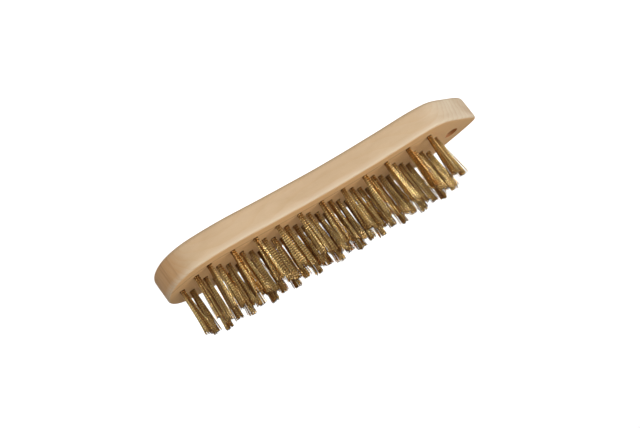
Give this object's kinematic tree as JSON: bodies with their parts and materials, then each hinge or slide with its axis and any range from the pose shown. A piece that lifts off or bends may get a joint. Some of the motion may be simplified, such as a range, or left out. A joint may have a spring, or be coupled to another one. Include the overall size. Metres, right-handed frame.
{
  "type": "wire brush",
  "caption": "Hand wire brush: waisted flat wooden block with a tapered nose and hanging hole, set with staggered rows of crimped brass wire tufts.",
  "frame": {"origin": "middle of the bounding box, on the flat back of the wooden block", "axes": "+Z from the wooden back to the bristle tips, +X along the block towards the pointed nose with the hanging hole, +Y across the rows towards the waisted side"},
  "size_m": [0.268, 0.0676, 0.0548],
  "materials": {
    "beech": "planed and sanded, unvarnished",
    "wire": "drawn and crimped wire, slightly dull"
  },
  "bodies": {
    "root": {"wooden_block": "beech", "tuft_row1_02": "wire", "tuft_row1_03": "wire", "tuft_row1_04": "wire", "tuft_row1_05": "wire", "tuft_row1_06": "wire", "tuft_row1_07": "wire", "tuft_row1_08": "wire", "tuft_row1_09": "wire", "tuft_row1_10": "wire", "tuft_row1_11": "wire", "tuft_row1_12": "wire", "tuft_row2_01": "wire", "tuft_row2_02": "wire", "tuft_row2_03": "wire", "tuft_row2_04": "wire", "tuft_row2_05": "wire", "tuft_row2_06": "wire", "tuft_row2_07": "wire", "tuft_row2_08": "wire", "tuft_row2_09": "wire", "tuft_row2_10": "wire", "tuft_row2_11": "wire", "tuft_row2_12": "wire", "tuft_row3_01": "wire", "tuft_row3_02": "wire", "tuft_row3_03": "wire", "tuft_row3_04": "wire", "tuft_row3_05": "wire", "tuft_row3_06": "wire", "tuft_row3_07": "wire", "tuft_row3_08": "wire", "tuft_row3_09": "wire", "tuft_row3_10": "wire", "tuft_row3_11": "wire", "tuft_row3_12": "wire", "tuft_row4_01": "wire", "tuft_row4_02": "wire", "tuft_row4_03": "wire", "tuft_row4_04": "wire", "tuft_row4_05": "wire", "tuft_row4_06": "wire", "tuft_row4_07": "wire", "tuft_row4_08": "wire", "tuft_row4_09": "wire", "tuft_row4_10": "wire", "tuft_row4_11": "wire", "tuft_row4_12": "wire", "tuft_row5_02": "wire", "tuft_row5_03": "wire", "tuft_row5_04": "wire", "tuft_row5_05": "wire", "tuft_row5_06": "wire", "tuft_row5_07": "wire", "tuft_row5_08": "wire", "tuft_row5_09": "wire", "tuft_row5_10": "wire", "tuft_row5_11": "wire", "tuft_row5_12": "wire"}
  },
  "joints": []
}
